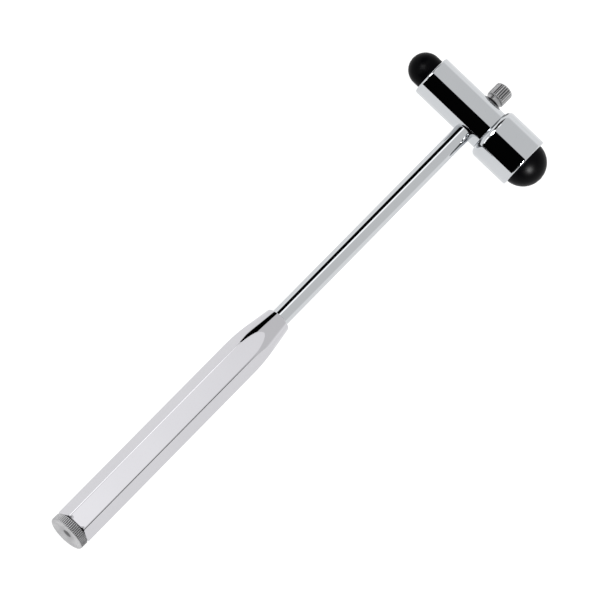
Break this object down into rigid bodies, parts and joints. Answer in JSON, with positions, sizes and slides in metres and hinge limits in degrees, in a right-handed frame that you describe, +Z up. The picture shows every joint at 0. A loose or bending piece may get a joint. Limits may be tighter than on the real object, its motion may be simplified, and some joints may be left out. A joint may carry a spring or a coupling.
{
  "type": "reflex hammer",
  "caption": "Metal reflex hammer with a hexagonal handle, slim shaft and two-ended rubber-tipped head; a needle screws into the head and a brush into the handle.",
  "frame": {"origin": "centre of the bottom of the overall box: midway between the brush cap's end face and the needle knob's top, on the plane of the shaft's axis, at the height of the large barrel's underside", "axes": "+X along the shaft's axis towards the head, +Y along the head's axis towards its small tip, +Z up, square to the plane of shaft and head"},
  "size_m": [0.185, 0.05, 0.0164],
  "materials": {
    "chrome": "bright polished plating",
    "knurled_metal": "plated over a straight knurl, duller than the barrels",
    "rubber": "satin black moulded rubber",
    "needle_steel": "drawn and ground steel",
    "brass": "plain turned and crimped brass",
    "bristle_nylon": "natural nylon filaments"
  },
  "bodies": {
    "hammer": {"hex_handle": "chrome", "shaft_rod": "chrome", "slim_barrel": "chrome", "large_barrel": "chrome", "small_rubber_tip": "rubber", "large_rubber_tip": "rubber"},
    "needle": {"needle_pin": "needle_steel"},
    "needle_screw": {"needle_knob": "knurled_metal"},
    "brush": {"brush_ferrule": "brass", "brush_bristles": "bristle_nylon"},
    "brush_screw": {"brush_cap": "knurled_metal"}
  },
  "joints": [
    {"name": "needle_draw", "type": "slide", "parent": "hammer", "child": "needle", "axis": [1, 0, 0], "range_m": [0, 0.046]},
    {"name": "needle_turn", "type": "hinge", "parent": "needle", "child": "needle_screw", "pos_m": [0.0864, 0, 0.0082], "axis": [1, 0, 0], "range_deg": [0, 3600]},
    {"name": "brush_draw", "type": "slide", "parent": "hammer", "child": "brush", "axis": [-1, 0, 0], "range_m": [0, 0.031]},
    {"name": "brush_turn", "type": "hinge", "parent": "brush", "child": "brush_screw", "pos_m": [-0.09, 0, 0.0082], "axis": [-1, 0, 0], "range_deg": [0, 2880]}
  ]
}
